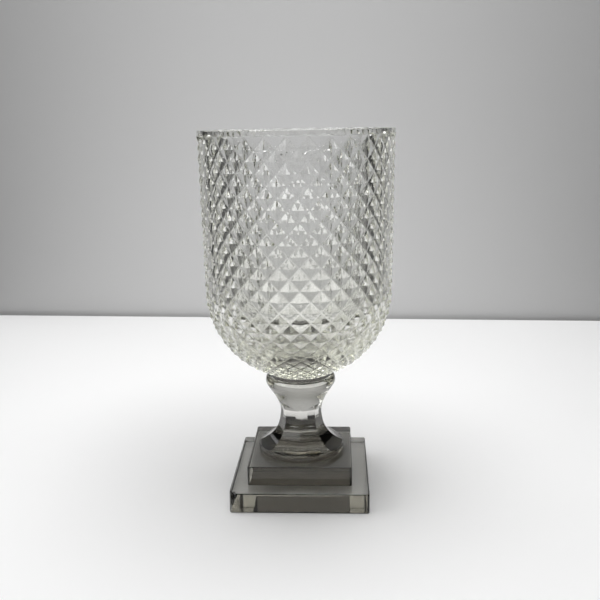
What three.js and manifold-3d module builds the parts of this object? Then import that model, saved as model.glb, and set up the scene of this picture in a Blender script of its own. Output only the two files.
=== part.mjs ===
// A footed urn vase in cut glass: a diamond-cut bowl on a panelled stem, on two square plinths.
// Millimetres, +Z up, with the origin at the middle of the resting face. The four glass pieces
// lie on each other face to face, and a thin clear film of adhesive holds each joint.

import * as THREE from 'three';
import { mergeVertices } from 'three/addons/utils/BufferGeometryUtils.js';
import Module from 'manifold-3d';

// Square plinths
const lowerPlinthSide = 90;
const lowerPlinthHeight = 13.2;
const upperPlinthSide = 68;
const upperPlinthHeight = 13;
const plinthArris = 0.5;

// Adhesive films, each drawn in from the edge of the smaller face that it joins
const filmThickness = 0.2;
const filmSetback = 0.6;

// Stem: round foot, eight flat panels, cup and lip
const stemHeight = 52.4;
const footRadius = 29.2;
const footEdgeHeight = 4;
const footRounding = 1.2;
const waistRadius = 14;
const waistHeight = 23.8;
const panelCount = 8;
const seatRadius = 20.9;
const lipOverhang = 2.5;
const lipDepth = 4.5;
const panelClearance = 1.4;

// Handles of the stem's curves: out from the radius that each one leaves, and up as a share of its rise
const flareHandles = [{ out: 5.2, up: 0.16 }, { out: 0.8, up: 0.55 }];
const shoulderHandles = [{ out: -0.8, up: 0.27 }, { out: 1, up: 0.4 }];
const shoulderRise = 0.81;
const cupHandles = [{ out: -1.4, up: 0.5 }, { out: 0.5, up: 0.85 }];

// Bowl: wall, rounded bottom and collar, measured over the tips of the diamonds
const bowlHeight = 160.8;
const rimRadius = 62.2;
const bowlRadius = 61;
const bottomDepth = 59;
const collarHeight = 3;
const collarFlare = 0.7;
const rimChamfer = 0.4;
const wallThickness = 4.5;
const floorThickness = 16;

// Diamond cutting
const diamondsAround = 30;
const cutDepth = 1.9;
const cutStretch = 1.056;
const cutTurn = THREE.MathUtils.degToRad(-2.4);
const plainBand = 4;
const bandSlope = 1;
const collarStep = 0.5;

// Fineness of the curved surfaces
const roundSegments = 56;
const curveSteps = 8;
const floorSteps = 9;
const meridianSteps = 400;
const stockAllowance = 1;

const wasm = await Module();
wasm.setup();

// Turns a closed geometry into a solid that can be cut, without its zero-area triangles.
function toSolid(geometry) {
  const bare = geometry.clone();
  bare.deleteAttribute('normal');
  bare.deleteAttribute('uv');
  const merged = mergeVertices(bare, 1e-5);
  const triangles = [];
  for (let i = 0; i < merged.index.count; i += 3) {
    const corners = [0, 1, 2].map((k) => merged.index.getX(i + k));
    if (new Set(corners).size === 3) triangles.push(...corners);
  }
  const mesh = new wasm.Mesh({
    numProp: 3,
    vertProperties: merged.attributes.position.array,
    triVerts: new Uint32Array(triangles),
  });
  return new wasm.Manifold(mesh);
}

function toGeometry(solid) {
  const mesh = solid.getMesh();
  const geometry = new THREE.BufferGeometry();
  geometry.setAttribute('position', new THREE.BufferAttribute(mesh.vertProperties, 3));
  geometry.setIndex(new THREE.BufferAttribute(mesh.triVerts, 1));
  geometry.computeVertexNormals();
  return geometry;
}

function glass(color, opacity) {
  return new THREE.MeshStandardMaterial({
    color,
    opacity,
    transparent: true,
    roughness: 0.03,
    metalness: 0,
  });
}

const clearGlass = { color: '#dcddd6', opacity: 0.4 };
const smokyGlass = { color: '#8f8d80', opacity: 0.6 };
const adhesive = { color: '#e6e6e0', opacity: 0.3 };

// A profile of radius and height, turned about the Z axis.
function turned(profile, segments) {
  return new THREE.LatheGeometry(profile, segments).rotateX(Math.PI / 2);
}

// A square slab whose twelve edges carry a small flat arris.
function plinth(side, height) {
  const half = side / 2;
  const flat = half - plinthArris;
  const outline = new THREE.Shape();
  outline.moveTo(-flat, -half);
  outline.lineTo(flat, -half);
  outline.lineTo(half, -flat);
  outline.lineTo(half, flat);
  outline.lineTo(flat, half);
  outline.lineTo(-flat, half);
  outline.lineTo(-half, flat);
  outline.lineTo(-half, -flat);
  outline.closePath();
  const slab = new THREE.ExtrudeGeometry(outline, {
    depth: height - 2 * plinthArris,
    bevelEnabled: true,
    bevelThickness: plinthArris,
    bevelSize: plinthArris,
    bevelOffset: -plinthArris,
    bevelSegments: 1,
  });
  return slab.translate(0, 0, plinthArris);
}

function squareFilm(side) {
  const half = side / 2 - plinthArris - filmSetback;
  const outline = new THREE.Shape();
  outline.moveTo(-half, -half);
  outline.lineTo(half, -half);
  outline.lineTo(half, half);
  outline.lineTo(-half, half);
  outline.closePath();
  return new THREE.ExtrudeGeometry(outline, { depth: filmThickness, bevelEnabled: false });
}

function roundFilm(radius) {
  const film = new THREE.CylinderGeometry(radius, radius, filmThickness, roundSegments);
  return film.rotateX(Math.PI / 2).translate(0, 0, filmThickness / 2);
}

// The stem is one piece: a round blank, shaped by a panelled solid with a flat side for each panel.
// The blank gives the foot's rim, the cup and the lip, and the panels give the waist and the flare.
function stem() {
  const lipRadius = seatRadius + lipOverhang;
  const lipStart = stemHeight - lipDepth;
  const cupSpan = lipStart - waistHeight;
  const blank = new THREE.Path();
  blank.moveTo(0, 0);
  blank.lineTo(footRadius - footRounding, 0);
  blank.quadraticCurveTo(footRadius, 0, footRadius, footRounding);
  blank.lineTo(footRadius, footEdgeHeight - footRounding);
  blank.quadraticCurveTo(footRadius, footEdgeHeight, footRadius - footRounding, footEdgeHeight);
  blank.lineTo(footRadius - footRounding, waistHeight);
  blank.lineTo(waistRadius, waistHeight);
  blank.bezierCurveTo(
    waistRadius + cupHandles[0].out, waistHeight + cupSpan * cupHandles[0].up,
    lipRadius + cupHandles[1].out, waistHeight + cupSpan * cupHandles[1].up,
    lipRadius, lipStart,
  );
  blank.quadraticCurveTo(lipRadius, stemHeight, seatRadius, stemHeight);
  blank.lineTo(0, stemHeight);

  // The corners between panels stay clear of the foot's rim, and of the cup and lip at the top.
  const cornerFactor = 1 / Math.cos(Math.PI / panelCount);
  const flareRadius = footRadius * cornerFactor + panelClearance;
  const flareStart = footEdgeHeight - footRounding / 2;
  const flareSpan = waistHeight - flareStart;
  const shoulderRadius = lipRadius * cornerFactor + panelClearance;
  const corners = new THREE.Path();
  corners.moveTo(0, -stockAllowance);
  corners.lineTo(flareRadius, -stockAllowance);
  corners.lineTo(flareRadius, flareStart);
  corners.bezierCurveTo(
    waistRadius + flareHandles[0].out, flareStart + flareSpan * flareHandles[0].up,
    waistRadius + flareHandles[1].out, flareStart + flareSpan * flareHandles[1].up,
    waistRadius, waistHeight,
  );
  corners.bezierCurveTo(
    waistRadius + shoulderHandles[0].out, waistHeight + cupSpan * shoulderHandles[0].up,
    waistRadius + shoulderHandles[1].out, waistHeight + cupSpan * shoulderHandles[1].up,
    shoulderRadius, waistHeight + cupSpan * shoulderRise,
  );
  corners.lineTo(shoulderRadius, stemHeight + stockAllowance);
  corners.lineTo(0, stemHeight + stockAllowance);

  const round = toSolid(turned(blank.getPoints(curveSteps), roundSegments));
  const panelled = toSolid(turned(corners.getPoints(curveSteps), panelCount));
  return toGeometry(round.intersect(panelled));
}

// The meridian over the diamond tips, from the plain band at the rim down to the collar's edge.
const lastAngle = Math.acos((seatRadius + collarFlare) / bowlRadius);
const bottomCentre = collarHeight + bottomDepth * Math.sin(lastAngle);
const wallSlope = (rimRadius - bowlRadius) / (bowlHeight - bottomCentre);

function wallRadius(height) {
  return bowlRadius + wallSlope * (height - bottomCentre);
}

function meridian() {
  const cutTop = bowlHeight - plainBand;
  const points = [];
  for (let i = 0; i <= meridianSteps; i++) {
    const height = THREE.MathUtils.lerp(cutTop, bottomCentre, i / meridianSteps);
    points.push(new THREE.Vector2(wallRadius(height), height));
  }
  for (let i = 1; i <= meridianSteps; i++) {
    const angle = (lastAngle * i) / meridianSteps;
    const height = bottomCentre - bottomDepth * Math.sin(angle);
    points.push(new THREE.Vector2(bowlRadius * Math.cos(angle), height));
  }
  return points;
}

// Each row holds its two points on the meridian: a diamond's tip, and the crossing of two grooves
// beside it. Rows close up as the bowl narrows, so every diamond keeps its proportion.
function diamondRows() {
  const line = meridian();
  const halfDiamond = Math.PI / diamondsAround;
  const reach = [0];
  for (let i = 1; i < line.length; i++) {
    const middle = (line[i].x + line[i - 1].x) / 2;
    const step = line[i].distanceTo(line[i - 1]) / (middle * halfDiamond * cutStretch);
    reach.push(reach[i - 1] + step);
  }
  const total = reach[reach.length - 1];
  const count = Math.round(total);
  const rows = [];
  let i = 1;
  for (let row = 0; row <= count; row++) {
    const target = (total * row) / count;
    while (i < line.length - 1 && reach[i] < target) i++;
    const share = (target - reach[i - 1]) / (reach[i] - reach[i - 1]);
    const tip = line[i - 1].clone().lerp(line[i], share);
    const along = line[i].clone().sub(line[i - 1]).normalize();
    const depth = (cutDepth * tip.x) / bowlRadius;
    const crossing = new THREE.Vector2(along.y, -along.x).multiplyScalar(depth).add(tip);
    rows.push(row % 2 === 0 ? [crossing, tip] : [tip, crossing]);
  }
  return rows;
}

// The bowl's rings run from the middle of the inner floor, up the inside, over the rim, down the
// diamonds and in under the collar. A ring's two points alternate round the bowl.
function bowl() {
  const plain = (radius, height) => {
    const point = new THREE.Vector2(radius, height);
    return [point, point];
  };
  const innerRadius = bowlRadius - cutDepth - wallThickness;
  const innerRimRadius = rimRadius - cutDepth - wallThickness;
  const innerDepth = bottomCentre - floorThickness;
  const rings = [];
  for (let i = 1; i <= floorSteps; i++) {
    const angle = (Math.PI / 2) * (1 - i / floorSteps);
    rings.push(plain(innerRadius * Math.cos(angle), bottomCentre - innerDepth * Math.sin(angle)));
  }
  rings.push(plain(innerRimRadius, bowlHeight - rimChamfer));
  rings.push(plain(innerRimRadius + rimChamfer, bowlHeight));
  rings.push(plain(rimRadius - rimChamfer, bowlHeight));
  rings.push(plain(rimRadius, bowlHeight - rimChamfer));
  const bandFoot = bowlHeight - plainBand + bandSlope;
  rings.push(plain(wallRadius(bandFoot), bandFoot));
  rings.push(...diamondRows());
  rings.push(plain(seatRadius, collarHeight - collarStep));
  rings.push(plain(seatRadius, 0));

  const around = 2 * diamondsAround;
  const positions = [0, 0, floorThickness];
  for (const ring of rings) {
    for (let i = 0; i < around; i++) {
      const point = ring[i % 2];
      const angle = cutTurn + (2 * Math.PI * i) / around;
      positions.push(point.x * Math.sin(angle), -point.x * Math.cos(angle), point.y);
    }
  }
  positions.push(0, 0, 0);

  const at = (ring, i) => 1 + ring * around + (i % around);
  const last = rings.length - 1;
  const bottom = positions.length / 3 - 1;
  const index = [];
  for (let i = 0; i < around; i++) {
    index.push(0, at(0, i), at(0, i + 1));
    for (let ring = 0; ring < last; ring++) {
      const [a, b, c, d] = [at(ring, i), at(ring + 1, i), at(ring + 1, i + 1), at(ring, i + 1)];
      const [near, far] = [rings[ring], rings[ring + 1]];
      const falling = near[i % 2].x + far[(i + 1) % 2].x;
      const rising = far[i % 2].x + near[(i + 1) % 2].x;
      if (falling <= rising) index.push(a, b, c, a, c, d);
      else index.push(a, b, d, b, c, d);
    }
    index.push(at(last, i), bottom, at(last, i + 1));
  }
  const geometry = new THREE.BufferGeometry();
  geometry.setAttribute('position', new THREE.Float32BufferAttribute(positions, 3));
  geometry.setIndex(index);
  geometry.computeVertexNormals();
  return geometry;
}

const vase = new THREE.Group();
let level = 0;

// Adds a piece on top of those already stacked.
function stack(name, shape, height, look) {
  const mesh = new THREE.Mesh(shape, glass(look.color, look.opacity));
  mesh.name = name;
  mesh.position.z = level;
  vase.add(mesh);
  level += height;
}

stack('lower_plinth', plinth(lowerPlinthSide, lowerPlinthHeight), lowerPlinthHeight, smokyGlass);
stack('plinth_bond', squareFilm(upperPlinthSide), filmThickness, adhesive);
stack('upper_plinth', plinth(upperPlinthSide, upperPlinthHeight), upperPlinthHeight, smokyGlass);
stack('stem_bond', roundFilm(footRadius - footRounding - filmSetback), filmThickness, adhesive);
stack('stem', stem(), stemHeight, clearGlass);
stack('bowl_bond', roundFilm(seatRadius - filmSetback), filmThickness, adhesive);
stack('bowl', bowl(), bowlHeight, clearGlass);

export default vase;
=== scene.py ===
from math import acos, atan2, cos, hypot, pi, radians, sin

import bmesh
import bpy
import numpy as np
from mathutils import Euler, Matrix, Vector
from mathutils.geometry import interpolate_bezier


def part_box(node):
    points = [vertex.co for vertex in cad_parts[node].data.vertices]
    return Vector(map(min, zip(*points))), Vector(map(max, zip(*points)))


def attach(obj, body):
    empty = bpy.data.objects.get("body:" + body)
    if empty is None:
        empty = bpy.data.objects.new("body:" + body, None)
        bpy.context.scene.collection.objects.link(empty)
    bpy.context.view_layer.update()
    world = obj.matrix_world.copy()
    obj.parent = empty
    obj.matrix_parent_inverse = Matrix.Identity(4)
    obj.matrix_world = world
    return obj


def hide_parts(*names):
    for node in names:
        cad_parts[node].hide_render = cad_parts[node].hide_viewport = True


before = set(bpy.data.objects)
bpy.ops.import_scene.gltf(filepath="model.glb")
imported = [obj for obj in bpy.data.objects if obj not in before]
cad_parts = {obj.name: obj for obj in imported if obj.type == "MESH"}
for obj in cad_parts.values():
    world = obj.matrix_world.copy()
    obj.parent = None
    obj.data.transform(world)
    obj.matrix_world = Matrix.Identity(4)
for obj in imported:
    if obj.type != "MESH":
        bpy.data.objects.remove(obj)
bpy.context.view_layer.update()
mm = 0.001


# Lower plinth: a square slab of faintly smoky cast glass, ground flat and polished on all sides,
# with a soft arris along every edge and one corner that has been knocked. The vase stands on it.
glass_ior = 1.52
smear_scale = 45
smears_start = 0.45
smears_full = 0.75
seat_tolerance = 0.05 * mm
film_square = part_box("plinth_bond")[1].x
film_gap_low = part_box("plinth_bond")[0].z
film_gap_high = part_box("plinth_bond")[1].z
slab_corner = 1.5 * mm
slab_arris = 0.5 * mm
slab_crease = radians(40)
smoky_tint = (0.53, 0.51, 0.42)
smoky_density = 24
slab_ripple = 55
slab_ripple_height = 0.05 * mm
slab_haze = 0.01


def add_piece(name, mesh, material):
    """Adds a finished mesh in the place of the CAD node of this name."""
    data = bpy.data.meshes.new(name)
    mesh.to_mesh(data)
    mesh.free()
    data.materials.append(material)
    piece = bpy.data.objects.new(name + "_glass", data)
    bpy.context.scene.collection.objects.link(piece)
    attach(piece, "root")
    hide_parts(name)
    return piece


def new_material(name):
    material = bpy.data.materials.new(name)
    material.use_nodes = True
    tree = material.node_tree
    return material, tree.nodes, tree.links, tree.nodes["Principled BSDF"]


def math_node(nodes, links, operation, *values):
    """A Math node whose inputs are numbers or the outputs of other nodes."""
    node = nodes.new("ShaderNodeMath")
    node.operation = operation
    for socket, value in zip(node.inputs, values):
        if isinstance(value, (int, float)):
            socket.default_value = value
        else:
            links.new(value, socket)
    return node.outputs[0]


def noise_node(nodes, links, place, scale, detail):
    noise = nodes.new("ShaderNodeTexNoise")
    noise.inputs["Scale"].default_value = scale
    noise.inputs["Detail"].default_value = detail
    links.new(place, noise.inputs["Vector"])
    return noise.outputs["Fac"]


def ramp_node(nodes, links, value, start, end, low=0, high=1, interpolation="LINEAR"):
    """Goes from low to high while the value goes from start to end, and stays level outside."""
    ramp = nodes.new("ShaderNodeMapRange")
    ramp.interpolation_type = interpolation
    ramp.inputs["From Min"].default_value = start
    ramp.inputs["From Max"].default_value = end
    ramp.inputs["To Min"].default_value = low
    ramp.inputs["To Max"].default_value = high
    links.new(value, ramp.inputs["Value"])
    return ramp.outputs["Result"]


def bump_node(nodes, links, height, distance, strength=None, under=None):
    """A bump this far from low to high, on top of the bump under it."""
    bump = nodes.new("ShaderNodeBump")
    bump.inputs["Distance"].default_value = distance
    links.new(height, bump.inputs["Height"])
    if strength is not None:
        links.new(strength, bump.inputs["Strength"])
    if under is not None:
        links.new(under, bump.inputs["Normal"])
    return bump.outputs["Normal"]


def seat_alpha(nodes, links, place, seats):
    """Zero on each seat, given as its height, its reach from the axis and whether it is round."""
    split = nodes.new("ShaderNodeSeparateXYZ")
    links.new(place, split.inputs["Vector"])
    x, y, z = split.outputs
    alpha = None
    for height, reach, is_round in seats:
        level = math_node(nodes, links, "COMPARE", z, height, seat_tolerance)
        if is_round:
            squares = [math_node(nodes, links, "MULTIPLY", v, v) for v in (x, y)]
            away = math_node(nodes, links, "SQRT", math_node(nodes, links, "ADD", *squares))
        else:
            sides = [math_node(nodes, links, "ABSOLUTE", v) for v in (x, y)]
            away = math_node(nodes, links, "MAXIMUM", *sides)
        inside = math_node(nodes, links, "LESS_THAN", away, reach)
        seat = math_node(nodes, links, "MULTIPLY", level, inside)
        rest = math_node(nodes, links, "SUBTRACT", 1, seat)
        alpha = rest if alpha is None else math_node(nodes, links, "MULTIPLY", alpha, rest)
    return alpha


def glass_material(name, tint, density, ripple_scale, ripple_height, haze, seats):
    """Clear glass with a tint that deepens with its thickness, the faint ripple of hand polishing,
    and a seat wherever adhesive joins it to its neighbour, where light passes straight through."""
    material, nodes, links, shader = new_material(name)
    shader.inputs["Base Color"].default_value = (1, 1, 1, 1)
    shader.inputs["Transmission Weight"].default_value = 1
    shader.inputs["IOR"].default_value = glass_ior
    place = nodes.new("ShaderNodeTexCoord").outputs["Object"]
    ripple = noise_node(nodes, links, place, ripple_scale, 2)
    links.new(bump_node(nodes, links, ripple, ripple_height), shader.inputs["Normal"])
    smears = noise_node(nodes, links, place, smear_scale, 4)
    roughness = ramp_node(nodes, links, smears, smears_start, smears_full, 0, haze)
    links.new(roughness, shader.inputs["Roughness"])
    links.new(seat_alpha(nodes, links, place, seats), shader.inputs["Alpha"])
    body = nodes.new("ShaderNodeVolumeAbsorption")
    body.inputs["Color"].default_value = (*tint, 1)
    body.inputs["Density"].default_value = density
    links.new(body.outputs["Volume"], nodes["Material Output"].inputs["Volume"])
    return material


def polish(mesh, crease):
    """Shades the curved faces smooth up to this crease angle, and leaves the flat ones flat."""
    for face in mesh.faces:
        face.smooth = max(abs(value) for value in face.normal) < 0.9999
    for edge in mesh.edges:
        edge.smooth = edge.calc_face_angle(0) < crease


def slab_mesh(node):
    """A slab whose four upright edges are rounded more than the arris round its two faces."""
    low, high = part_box(node)
    slab = bmesh.new()
    bmesh.ops.create_cube(slab, size=1)
    bmesh.ops.scale(slab, vec=high - low, verts=slab.verts)
    bmesh.ops.translate(slab, vec=(high + low) / 2, verts=slab.verts)
    upright = [e for e in slab.edges if abs(e.verts[0].co.z - e.verts[1].co.z) > slab_arris]
    bmesh.ops.bevel(slab, geom=upright, offset=slab_corner, segments=6, profile=0.5,
                    affect="EDGES", material=-1)
    around = [e for e in slab.edges if abs(e.verts[0].co.z - e.verts[1].co.z) < slab_arris]
    bmesh.ops.bevel(slab, geom=around, offset=slab_arris, segments=4, profile=0.5,
                    affect="EDGES", material=-1)
    polish(slab, slab_crease)
    return slab


# Two blows have broken the corner. Each is a plane through a point, in millimetres from it.
blows = (((3.2, 1.4, -2), (-0.8, -1, 0.35)),
         ((0.8, 2, -7), (-1, -0.6, 0.12)))
shards_start = 6.5 * mm
shards_full = 4.5 * mm
shard_scale = 240
shard_height = 1.2 * mm

lower = slab_mesh("lower_plinth")
low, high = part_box("lower_plinth")
knocked = Vector((low.x, low.y, high.z))
for offset, facing in blows:
    cut = bmesh.ops.bisect_plane(lower, geom=lower.verts[:] + lower.edges[:] + lower.faces[:],
                                 plane_co=knocked + Vector(offset) * mm, plane_no=facing,
                                 clear_outer=True)
    broken_edge = [e for e in cut["geom_cut"] if isinstance(e, bmesh.types.BMEdge)]
    bmesh.ops.edgenet_fill(lower, edges=broken_edge)
bmesh.ops.recalc_face_normals(lower, faces=lower.faces)

lower_glass = glass_material("lower plinth glass", smoky_tint, smoky_density, slab_ripple,
                             slab_ripple_height, slab_haze,
                             seats=[(film_gap_low, film_square, False)])
nodes = lower_glass.node_tree.nodes
links = lower_glass.node_tree.links
place = nodes["Texture Coordinate"].outputs["Object"]
flatten = nodes.new("ShaderNodeVectorMath")
flatten.operation = "MULTIPLY"
flatten.inputs[1].default_value = (1, 1, 0)
links.new(place, flatten.inputs[0])
from_corner = nodes.new("ShaderNodeVectorMath")
from_corner.operation = "DISTANCE"
from_corner.inputs[1].default_value = (low.x, low.y, 0)
links.new(flatten.outputs["Vector"], from_corner.inputs[0])
bruise = ramp_node(nodes, links, from_corner.outputs["Value"], shards_start, shards_full)
shards = noise_node(nodes, links, place, shard_scale, 3)
broken = bump_node(nodes, links, shards, shard_height, bruise, nodes["Bump"].outputs["Normal"])
links.new(broken, nodes["Principled BSDF"].inputs["Normal"])
add_piece("lower_plinth", lower, lower_glass)


# Plinth bond: a thin film of clear adhesive between the two slabs, drawn in a little from the
# upper slab's edge, with the slightly hollow edge that cured adhesive has.
film_margin = 0.01 * mm
film_sides = 128
edge_hollow = 0.08 * mm
adhesive_tint = (0.44, 0.42, 0.4)
adhesive_ripple = 60
adhesive_ripple_height = 0.01 * mm
adhesive_haze = 0.1
seat_inset = 0.05 * mm


def film_mesh(node, is_round):
    low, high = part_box(node)
    low.z += film_margin
    high.z -= film_margin
    film = bmesh.new()
    if is_round:
        bmesh.ops.create_cone(film, cap_ends=True, segments=film_sides, radius1=high.x,
                              radius2=high.x, depth=high.z - low.z)
    else:
        bmesh.ops.create_cube(film, size=1)
        bmesh.ops.scale(film, vec=high - low, verts=film.verts)
    sides = [e for e in film.edges if abs(e.verts[0].co.z - e.verts[1].co.z) > film_margin]
    bmesh.ops.subdivide_edges(film, edges=sides, cuts=3, use_grid_fill=True)
    half_depth = (high.z - low.z) / 2
    for vert in film.verts:
        hollow = 1 - edge_hollow / high.x * (1 - (vert.co.z / half_depth) ** 2)
        vert.co.x *= hollow
        vert.co.y *= hollow
    bmesh.ops.translate(film, vec=(0, 0, (high.z + low.z) / 2), verts=film.verts)
    return film


def adhesive_material(node, is_round, density):
    low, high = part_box(node)
    inner = high.x - seat_inset
    seats = [(low.z + film_margin, inner, is_round), (high.z - film_margin, inner, is_round)]
    return glass_material(node + " adhesive", adhesive_tint, density, adhesive_ripple,
                          adhesive_ripple_height, adhesive_haze, seats)


plinth_film = adhesive_material("plinth_bond", is_round=False, density=4000)
add_piece("plinth_bond", film_mesh("plinth_bond", False), plinth_film)


# Upper plinth: a smaller slab of the same smoky glass, polished, which carries the stem's foot.
foot_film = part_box("stem_bond")[1].x
foot_gap_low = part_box("stem_bond")[0].z
foot_gap_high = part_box("stem_bond")[1].z
upper_glass = glass_material("upper plinth glass", smoky_tint, smoky_density, slab_ripple,
                             slab_ripple_height, slab_haze,
                             seats=[(film_gap_high, film_square, False),
                                    (foot_gap_low, foot_film, True)])
add_piece("upper_plinth", slab_mesh("upper_plinth"), upper_glass)


# Stem bond: the round film of adhesive under the stem's foot, clearer than the one below.
stem_film = adhesive_material("stem_bond", is_round=True, density=1300)
add_piece("stem_bond", film_mesh("stem_bond", True), stem_film)


# Stem: one piece of nearly clear glass, blown thick and then cut. It has a round foot, eight flat
# panels up the flare and the waist, a plain cup and a rounded lip with a flat seat on top.
stem_low, stem_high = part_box("stem")
stem_height = stem_high.z - stem_low.z
foot_radius = stem_high.x
seat_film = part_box("bowl_bond")[1].x
seat_gap_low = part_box("bowl_bond")[0].z
seat_gap_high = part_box("bowl_bond")[1].z
seat_radius = 20.9 * mm
lip_radius = 23.4 * mm
lip_depth = 3.4 * mm
waist_radius = 14 * mm
waist_height = 23.8 * mm
foot_edge = 4 * mm
foot_rounding = 1.2 * mm
panel_count = 8
panel_steps = 24
panel_clearance = 1.4 * mm
panel_crease = radians(12)
edge_softness = 0.12 * mm
uncut = 1.0
stem_tint = (0.55, 0.54, 0.47)


def bezier(points, steps):
    """The points of one Bezier stretch, given as (radius, height) in metres."""
    knots = [Vector((r, z, 0)) for r, z in points]
    return [(p.x, p.y) for p in interpolate_bezier(*knots, steps)]


def quarter(start, corner, end, steps):
    """A rounded corner, drawn as the Bezier that matches a quadratic one."""
    first = [s + (c - s) * 2 / 3 for s, c in zip(start, corner)]
    second = [e + (c - e) * 2 / 3 for e, c in zip(end, corner)]
    return bezier([start, first, second, end], steps)


def stem_profiles():
    """The outline of the round blank, and the line that the panels' corners would follow."""
    lip_start = stem_height - lip_depth
    cup = lip_start - waist_height
    rim_in = foot_radius - foot_rounding
    foot_shoulder = foot_edge - foot_rounding
    blank = quarter((rim_in, 0), (foot_radius, 0), (foot_radius, foot_rounding), 8)
    blank += quarter((foot_radius, foot_shoulder), (foot_radius, foot_edge), (rim_in, foot_edge), 10)
    blank += [(rim_in, waist_height - 0.01 * mm)]
    blank += bezier([(waist_radius, waist_height),
                     (waist_radius - 1.4 * mm, waist_height + 0.5 * cup),
                     (lip_radius + 0.5 * mm, waist_height + 0.85 * cup),
                     (lip_radius, lip_start)], 40)
    blank += quarter((lip_radius, lip_start), (lip_radius, stem_height),
                     (seat_radius, stem_height), 16)[1:]
    corner_factor = 1 / cos(pi / panel_count)
    flare_start = foot_edge - foot_rounding / 2
    flare = waist_height - flare_start
    corners = bezier([(foot_radius * corner_factor + panel_clearance, flare_start),
                      (waist_radius + 5.2 * mm, flare_start + 0.16 * flare),
                      (waist_radius + 0.8 * mm, flare_start + 0.55 * flare),
                      (waist_radius, waist_height)], 60)
    cup_shoulder = lip_radius * corner_factor + panel_clearance
    corners += bezier([(waist_radius, waist_height),
                       (waist_radius - 0.8 * mm, waist_height + 0.27 * cup),
                       (waist_radius + 1 * mm, waist_height + 0.4 * cup),
                       (cup_shoulder, waist_height + 0.81 * cup)], 40)[1:]
    return blank, corners


blank_line, corner_line = stem_profiles()
levels = sorted({round(z, 6) for _, z in blank_line + corner_line})
stem = bmesh.new()
chain = [stem.verts.new((0, 0, 0))]
chain += [stem.verts.new((0, -lip_radius, z)) for z in levels]
chain += [stem.verts.new((0, 0, stem_height))]
chain_edges = [stem.edges.new(pair) for pair in zip(chain, chain[1:])]
bmesh.ops.spin(stem, geom=chain + chain_edges, cent=(0, 0, 0), axis=(0, 0, 1), dvec=(0, 0, 0),
               angle=2 * pi, steps=panel_steps * panel_count, use_merge=True, use_duplicate=False)
bmesh.ops.remove_doubles(stem, verts=stem.verts, dist=1e-7)

# The spun tube is drawn in to the blank's radius or the panel's, whichever is less, with a small
# rounding where the two meet. Above its panels the stem is uncut.
blank_radii = [r for r, _ in blank_line]
blank_levels = [z for _, z in blank_line]
corner_radii = [r for r, _ in corner_line]
corner_levels = [z for _, z in corner_line]
half_panel = pi / panel_count
for vert in stem.verts:
    if hypot(vert.co.x, vert.co.y) < 1e-6:
        continue
    angle = atan2(vert.co.x, -vert.co.y)
    off_middle = (angle % (2 * half_panel)) - half_panel
    round_radius = np.interp(vert.co.z, blank_levels, blank_radii)
    corner_radius = np.interp(vert.co.z, corner_levels, corner_radii, right=uncut)
    panel_radius = corner_radius * cos(half_panel) / cos(off_middle)
    gap = (round_radius - panel_radius) / edge_softness
    if abs(gap) < 4:
        soft = edge_softness * np.log1p(np.exp(-abs(gap)))
    else:
        soft = 0
    radius = min(round_radius, panel_radius) - soft
    vert.co.x, vert.co.y = radius * sin(angle), -radius * cos(angle)
bmesh.ops.translate(stem, vec=(0, 0, stem_low.z), verts=stem.verts)
bmesh.ops.recalc_face_normals(stem, faces=stem.faces)
polish(stem, panel_crease)
stem_glass = glass_material("stem glass", stem_tint, density=22, ripple_scale=40,
                            ripple_height=0.02 * mm, haze=0.03,
                            seats=[(foot_gap_high, foot_film, True),
                                   (seat_gap_low, seat_film, True)])
add_piece("stem", stem, stem_glass)


# Bowl bond: the round film of clear adhesive between the stem's seat and the bowl's collar.
bowl_film = adhesive_material("bowl_bond", is_round=True, density=3600)
add_piece("bowl_bond", film_mesh("bowl_bond", True), bowl_film)


# Bowl: a thick blown bowl of clear glass, smooth inside. Two sets of slanting grooves are cut into
# the outside with a wheel, and leave four-sided pyramids from the rim's plain band to the collar.
bowl_low, bowl_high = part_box("bowl")
bowl_height = bowl_high.z - bowl_low.z
rim_radius = bowl_high.x
bowl_radius = 61 * mm
bottom_depth = 59 * mm
collar_height = 3 * mm
collar_edge = 21.6 * mm
collar_foot = 0.5 * mm
wall_thickness = 4.5 * mm
floor_thickness = 16 * mm
rim_rounding = 1 * mm
cut_depth = 1.9 * mm
cut_stretch = 1.056
cut_turn = radians(-2.4)
plain_band = 4 * mm
band_overlap = 1 * mm
groove_round = 0.42 * mm
groove_angle = radians(10)
bowl_crease = radians(9)
diamonds_around = 30
half_diamond = pi / diamonds_around
last_angle = acos(collar_edge / bowl_radius)
bottom_centre = collar_height + bottom_depth * sin(last_angle)
wall_slope = (rim_radius - bowl_radius) / (bowl_height - bottom_centre)
bowl_tint = (0.74, 0.75, 0.62)
haze_at_rim = 0.0
haze_at_floor = 0.16
dullest_below = bowl_low.z + 30 * mm
clear_above = bowl_high.z - 35 * mm
floor_grey = (0.73, 0.73, 0.69)
inside_wave_scale = 350
inside_wave_height = 0.1 * mm


def wall_radius(height):
    return bowl_radius + wall_slope * (height - bottom_centre)


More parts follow.
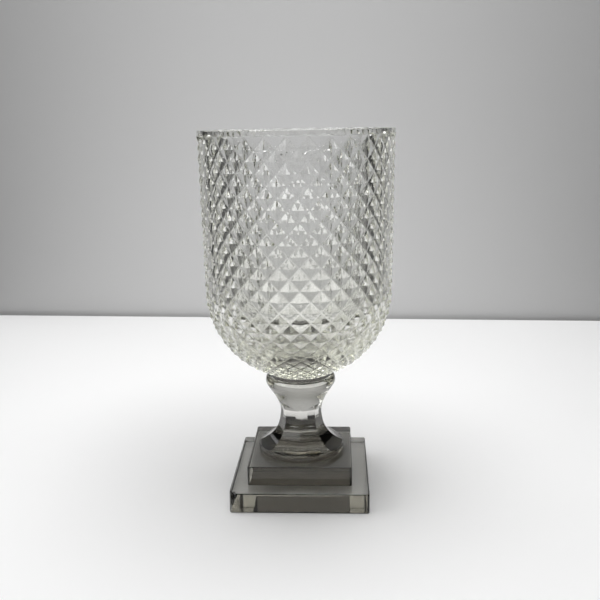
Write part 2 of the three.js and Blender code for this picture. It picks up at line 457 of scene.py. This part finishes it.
def diamond_rows():
    """Tip and groove crossing of each row, from the rim's band to the collar. The rows close up as
    the bowl narrows, so every diamond keeps its proportion."""
    steps = 400
    cut_top = bowl_height - plain_band
    line = []
    for i in range(steps + 1):
        height = cut_top + (bottom_centre - cut_top) * i / steps
        line.append(Vector((wall_radius(height), height)))
    for i in range(1, steps + 1):
        angle = last_angle * i / steps
        line.append(Vector((bowl_radius * cos(angle), bottom_centre - bottom_depth * sin(angle))))
    reach = [0]
    for before, after in zip(line, line[1:]):
        step = (after - before).length / ((before.x + after.x) / 2 * half_diamond * cut_stretch)
        reach.append(reach[-1] + step)
    count = round(reach[-1])
    rows = []
    for row in range(count + 1):
        target = reach[-1] * row / count
        tip = Vector([np.interp(target, reach, [p[k] for p in line]) for k in (0, 1)])
        later = Vector([np.interp(target + 0.01, reach, [p[k] for p in line]) for k in (0, 1)])
        if row == count:
            later = tip + (line[-1] - line[-2])
        along = (later - tip).normalized()
        depth = cut_depth * tip.x / bowl_radius
        crossing = tip + Vector((along.y, -along.x)) * depth
        rows.append((tip, crossing))
    return rows


def bowl_mesh():
    rows = diamond_rows()
    inner_radius = bowl_radius - cut_depth - wall_thickness
    inner_rim = rim_radius - cut_depth - wall_thickness
    inner_depth = bottom_centre - floor_thickness
    floor_steps = 36
    outline = [(0, floor_thickness)]
    for i in range(1, floor_steps + 1):
        angle = pi / 2 * (1 - i / floor_steps)
        outline.append((inner_radius * cos(angle), bottom_centre - inner_depth * sin(angle)))
    inside_count = len(outline) + 1
    outline += quarter((inner_rim, bowl_height - rim_rounding), (inner_rim, bowl_height),
                       (inner_rim + rim_rounding, bowl_height), 6)
    outline += quarter((rim_radius - rim_rounding, bowl_height), (rim_radius, bowl_height),
                       (rim_radius, bowl_height - rim_rounding), 6)
    band_foot = bowl_height - plain_band + band_overlap
    outline.append((wall_radius(band_foot), band_foot))
    first_row = len(outline)
    outline += [(tip.x, tip.y) for tip, _ in rows]
    outline.append((seat_radius, collar_height - collar_foot))
    outline.append((seat_radius, 0))
    outline.append((0, 0))

    bowl = bmesh.new()
    row_layer = bowl.verts.layers.int.new("row")
    inside_layer = bowl.verts.layers.float.new("inside")
    chain = []
    for i, (r, z) in enumerate(outline):
        vert = bowl.verts.new((r * sin(cut_turn), -r * cos(cut_turn), z))
        vert[row_layer] = i - first_row + 1 if first_row <= i < first_row + len(rows) else 0
        vert[inside_layer] = 1 if i < inside_count else 0
        chain.append(vert)
    edges = [bowl.edges.new(pair) for pair in zip(chain, chain[1:])]
    bmesh.ops.spin(bowl, geom=chain + edges, cent=(0, 0, 0), axis=(0, 0, 1), dvec=(0, 0, 0),
                   angle=2 * pi, steps=2 * diamonds_around, use_merge=True, use_duplicate=False)
    bmesh.ops.remove_doubles(bowl, verts=bowl.verts, dist=1e-7)

    # The plain rings are made four times finer than the diamonds, and brought back to a true round.
    plain_rings = [e for e in bowl.edges
                   if abs(e.verts[0].co.z - e.verts[1].co.z) < 1e-7
                   and not any(v[row_layer] for v in e.verts)
                   and all(hypot(v.co.x, v.co.y) > 1e-6 for v in e.verts)]
    bmesh.ops.subdivide_edges(bowl, edges=plain_rings, cuts=3, use_grid_fill=True)
    for vert in bowl.verts:
        radius = hypot(vert.co.x, vert.co.y)
        angle = atan2(vert.co.x, -vert.co.y)
        if radius < 1e-6:
            continue
        if vert[row_layer]:
            row = vert[row_layer] - 1
            step = round((angle - cut_turn) / half_diamond)
            point = rows[row][(row + step + 1) % 2]
            vert.co = (point.x * sin(angle), -point.x * cos(angle), point.y)
        else:
            off_middle = (angle - cut_turn) % half_diamond - half_diamond / 2
            factor = cos(off_middle) / cos(half_diamond / 2)
            vert.co.x *= factor
            vert.co.y *= factor
    cut_faces = [f for f in bowl.faces if any(v[row_layer] for v in f.verts)]
    cut_faces = bmesh.ops.triangulate(bowl, faces=cut_faces, quad_method="SHORT_EDGE",
                                      ngon_method="BEAUTY")["faces"]
    bmesh.ops.recalc_face_normals(bowl, faces=bowl.faces)
    polish(bowl, bowl_crease)
    for face in cut_faces:
        face.smooth = False

    # The wheel's edge leaves the bottom of each groove slightly round.
    grooves = [e for e in bowl.edges
               if all(v[row_layer] for v in e.verts)
               and abs(e.verts[0][row_layer] - e.verts[1][row_layer]) == 1
               and not e.is_convex
               and e.calc_face_angle() > groove_angle]
    rounded = bmesh.ops.bevel(bowl, geom=grooves, offset=groove_round, segments=2, profile=0.5,
                              affect="EDGES", material=-1)["faces"]
    for face in rounded:
        face.smooth = True
    bmesh.ops.translate(bowl, vec=(0, 0, bowl_low.z), verts=bowl.verts)
    return bowl


def bowl_glass_material():
    """The bowl's glass. Its inside is wavy from the mould, and grows duller and greyer more and more
    towards the floor."""
    material = glass_material("bowl glass", bowl_tint, density=10, ripple_scale=35,
                              ripple_height=0.02 * mm, haze=0.02,
                              seats=[(seat_gap_high, seat_film, True)])
    nodes = material.node_tree.nodes
    links = material.node_tree.links
    shader = nodes["Principled BSDF"]
    place = nodes["Texture Coordinate"].outputs["Object"]
    outside = shader.inputs["Roughness"].links[0].from_socket
    attribute = nodes.new("ShaderNodeAttribute")
    attribute.attribute_name = "inside"
    inside = attribute.outputs["Fac"]
    split = nodes.new("ShaderNodeSeparateXYZ")
    links.new(place, split.inputs["Vector"])
    dull = ramp_node(nodes, links, split.outputs["Z"], dullest_below, clear_above,
                     haze_at_floor, haze_at_rim)
    roughness = math_node(nodes, links, "MULTIPLY_ADD", inside, dull, outside)
    links.new(roughness, shader.inputs["Roughness"])

    # The inside is tinted greyer towards the floor, by the same ramp that dulls it.
    share = math_node(nodes, links, "DIVIDE", dull, haze_at_floor)
    toward_floor = math_node(nodes, links, "MULTIPLY", inside, share)
    grey = nodes.new("ShaderNodeMix")
    grey.data_type = "RGBA"
    grey.inputs["A"].default_value = (1, 1, 1, 1)
    grey.inputs["B"].default_value = (*floor_grey, 1)
    links.new(toward_floor, grey.inputs["Factor"])
    links.new(grey.outputs["Result"], shader.inputs["Base Color"])

    waves = noise_node(nodes, links, place, inside_wave_scale, 2)
    strength = math_node(nodes, links, "MULTIPLY_ADD", toward_floor, 0.7, 0.3)
    wavy = bump_node(nodes, links, waves, inside_wave_height, strength,
                     nodes["Bump"].outputs["Normal"])
    links.new(wavy, shader.inputs["Normal"])
    return material


bowl_glass = bowl_glass_material()
add_piece("bowl", bowl_mesh(), bowl_glass)


# Stage: a white table top whose back edge stops just short of a grey wall, which stands a little
# askew behind the vase. The table has a painted shadow round the vase, and the wall painted shade
# towards its edges.
stage_left = -0.47
stage_right = 0.42
table_front = -0.9
table_top = -0.05 * mm
wall_y = 0.455
wall_gap = 7 * mm
wall_turn = radians(-3.1)
wall_top = 1.2


def light_and_shade_paint(name, near, far, middle, reach):
    """Matt paint with painted light and shade: one grey at a point fades to another at a distance.
    """
    material, nodes, links, shader = new_material(name)
    shader.inputs["Roughness"].default_value = 0.6
    shader.inputs["Specular IOR Level"].default_value = 0.2
    away = nodes.new("ShaderNodeVectorMath")
    away.operation = "DISTANCE"
    away.inputs[1].default_value = middle
    links.new(nodes.new("ShaderNodeTexCoord").outputs["Object"], away.inputs[0])
    fade = ramp_node(nodes, links, away.outputs["Value"], 0, reach, interpolation="SMOOTHSTEP")
    blend = nodes.new("ShaderNodeMix")
    blend.data_type = "RGBA"
    blend.inputs["A"].default_value = (near, near, near, 1)
    blend.inputs["B"].default_value = (far, far, far, 1)
    links.new(fade, blend.inputs["Factor"])
    links.new(blend.outputs["Result"], shader.inputs["Base Color"])
    return material


def add_stage(name, low, high, material):
    block = bmesh.new()
    bmesh.ops.create_cube(block, size=1)
    bmesh.ops.scale(block, vec=Vector(high) - Vector(low), verts=block.verts)
    bmesh.ops.translate(block, vec=(Vector(high) + Vector(low)) / 2, verts=block.verts)
    bmesh.ops.rotate(block, cent=(0, wall_y, 0), matrix=Matrix.Rotation(wall_turn, 3, "Z"),
                     verts=block.verts)
    data = bpy.data.meshes.new(name)
    block.to_mesh(data)
    block.free()
    data.materials.append(material)
    thing = bpy.data.objects.new(name, data)
    bpy.context.scene.collection.objects.link(thing)


# The darker grey round the vase is a painted shadow on the table.
table = light_and_shade_paint("white table painted shadow", near=0.77, far=0.96, middle=(-0.05, 0.04, 0), reach=0.24)
add_stage("table", (stage_left, table_front, -0.03),
          (stage_right, wall_y - wall_gap, table_top), table)
# The wall is painted lighter low behind the vase and darker towards its edges and top: painted light
# and shade.
paint = light_and_shade_paint("grey wall painted light", near=0.75, far=0.4, middle=(-0.06, wall_y, 0.08), reach=0.72)
add_stage("wall", (stage_left, wall_y, -0.5), (stage_right, wall_y + 0.02, wall_top), paint)


# Light: a soft box above the vase and a small lamp near the camera, in a dark room with a wide
# window to the left, which the glass and the camera see alike past the stage.
room_light = 0.02
window_light = 2
lamp_target = Vector((0, 0, 0.1))

world = bpy.data.worlds.new("room")
bpy.context.scene.world = world
world.use_nodes = True
nodes = world.node_tree.nodes
links = world.node_tree.links
split = nodes.new("ShaderNodeSeparateXYZ")
links.new(nodes.new("ShaderNodeTexCoord").outputs["Generated"], split.inputs["Vector"])
above_sill = ramp_node(nodes, links, split.outputs["Z"], 0.25, 0.35, interpolation="SMOOTHSTEP")
below_head = ramp_node(nodes, links, split.outputs["Z"], 0.75, 0.65, interpolation="SMOOTHSTEP")
window_band = math_node(nodes, links, "MULTIPLY", above_sill, below_head)
left_side = ramp_node(nodes, links, split.outputs["X"], -0.45, -0.75, 0, window_light, "SMOOTHSTEP")
window = math_node(nodes, links, "MULTIPLY", left_side, window_band)
lit_room = math_node(nodes, links, "ADD", window, room_light)
links.new(lit_room, nodes["Background"].inputs["Strength"])
nodes["Background"].inputs["Color"].default_value = (1, 1, 1, 1)

for name, place, side, power in (("soft box", (-0.01, 0.0, 1.0), 0.8, 9.1),
                                 ("front lamp", (0.1, -0.75, 0.5), 0.04, 0.12)):
    lamp = bpy.data.lights.new(name, "AREA")
    lamp.size = side
    lamp.energy = power
    light = bpy.data.objects.new(name, lamp)
    light.location = place
    light.rotation_euler = (lamp_target - light.location).to_track_quat("-Z", "Y").to_euler()
    light.visible_camera = False
    bpy.context.scene.collection.objects.link(light)


# Camera: level with the rim, looking down at the vase's middle, and tipped by one degree.
camera_turn = radians(3.043)
camera_pitch = radians(13.261)
camera_roll = -0.01777
camera_distance = 0.48024
camera_aside = 0.00056
camera_height = 0.243
focal_length = 44.892
lens = bpy.data.cameras.new("camera")
lens.lens = focal_length
lens.sensor_width = 36
camera = bpy.data.objects.new("camera", lens)
camera.location = (sin(camera_turn) * camera_distance + cos(camera_turn) * camera_aside,
                   -cos(camera_turn) * camera_distance + sin(camera_turn) * camera_aside,
                   camera_height)
facing = Euler((pi / 2 - camera_pitch, 0, camera_turn)).to_matrix()
camera.rotation_euler = (facing @ Matrix.Rotation(camera_roll, 3, "Z")).to_euler()
bpy.context.scene.collection.objects.link(camera)
bpy.context.scene.camera = camera

# Light crosses many faces on its way through cut glass, so its paths are long.
scene = bpy.context.scene
scene.view_settings.view_transform = "Standard"
scene.cycles.max_bounces = 32
scene.cycles.transmission_bounces = 32
scene.cycles.glossy_bounces = 16
scene.cycles.transparent_max_bounces = 32
